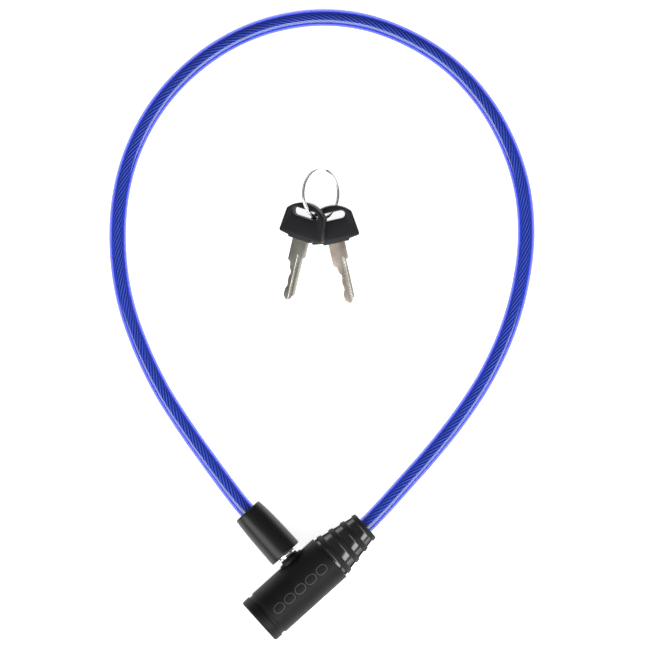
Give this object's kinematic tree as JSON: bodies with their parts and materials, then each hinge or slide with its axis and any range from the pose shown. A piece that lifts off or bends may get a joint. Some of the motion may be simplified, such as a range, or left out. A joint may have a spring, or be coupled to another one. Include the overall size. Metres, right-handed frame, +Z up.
{
  "type": "cable lock",
  "caption": "Cable lock: a round key-operated lock body with a ribbed boot, a plastic-coated wire rope loop, a tapered sleeve with a grooved bolt, and two keys on a split ring.",
  "frame": {"origin": "centre of the lock body's key-end face, on the barrel's axis", "axes": "+X along the barrel from the key end to the boot, +Y along the bolt from the barrel to the sleeve, +Z up from the table that the lock lies on"},
  "size_m": [0.2429, 0.2267, 0.0234],
  "materials": {
    "black_plastic": "matte moulded",
    "satin_plastic": "satin moulded",
    "black_rubber": "matte ribs, glossy grooves",
    "zinc_casting": "die cast",
    "plated_steel": "zinc plated",
    "blue_coating": "clear gloss",
    "rope_steel": "stranded",
    "nickel_plug": "nickel plated",
    "brass_wafers": "stamped",
    "chrome_bolt": "polished",
    "ring_steel": "nickel plated",
    "bow_plastic": "fine grain",
    "key_metal": "nickel silver, stamped"
  },
  "bodies": {
    "lock_body": {"housing_shell": "black_plastic", "inner_casing": "zinc_casting", "key_end_collar": "black_plastic", "boss_bush": "black_plastic", "latch_cover": "plated_steel", "retaining_pin": "plated_steel", "cable_boot": "black_rubber", "cable_anchor": "plated_steel", "anchor_pin": "plated_steel", "latch_springs": "plated_steel", "cable_sheath": "blue_coating", "wire_rope": "rope_steel"},
    "plug": {"key_plug": "nickel_plug", "cam": "plated_steel", "cam_screw": "plated_steel", "wafer_springs": "plated_steel"},
    "wafer_set": {"wafers": "brass_wafers"},
    "latch": {"latch": "plated_steel"},
    "bolt": {"locking_bolt": "chrome_bolt", "bolt_flange": "chrome_bolt", "bolt_ferrule": "plated_steel", "bolt_cross_pin": "plated_steel", "bolt_sleeve": "satin_plastic"},
    "ring": {"split_ring": "ring_steel"},
    "key_1": {"key_1_bow": "bow_plastic", "key_1_blade": "key_metal"},
    "key_2": {"key_2_bow": "bow_plastic", "key_2_blade": "key_metal"}
  },
  "joints": [
    {"name": "bolt_slide", "type": "slide", "parent": "lock_body", "child": "bolt", "axis": [0, 1, 0], "range_m": [0, 0.022], "deforming": ["cable_sheath", "wire_rope"]},
    {"name": "plug_turn", "type": "hinge", "parent": "lock_body", "child": "plug", "pos_m": [0.01, 0, 0], "axis": [1, 0, 0], "range_deg": [0, 90]},
    {"name": "latch_slide", "type": "slide", "parent": "lock_body", "child": "latch", "axis": [0, 0, -1], "range_m": [0, 0.0015], "deforming": ["latch_springs"]},
    {"name": "wafer_lift", "type": "slide", "parent": "plug", "child": "wafer_set", "axis": [0, 0, 1], "range_m": [0, 0.0006], "stiffness_N_per_m": 150, "deforming": ["wafer_springs"]},
    {"name": "ring_lift", "type": "slide", "parent": "lock_body", "child": "ring", "axis": [0, 0, 1], "range_m": [0, 0.05]},
    {"name": "key_1_swing", "type": "hinge", "parent": "ring", "child": "key_1", "pos_m": [0.14475, 0.12148, -0.0002], "axis": [-0.293, 0.6796, 0.6725], "range_deg": [0, 30]},
    {"name": "key_2_swing", "type": "hinge", "parent": "ring", "child": "key_2", "pos_m": [0.14847, 0.11813, -0.0052], "axis": [-0.0643, -0.1136, 0.9914], "range_deg": [0, 20]}
  ],
  "couplings": [
    {"joint": "latch_slide", "follows": "plug_turn", "m_per_rad": 0.00095}
  ]
}
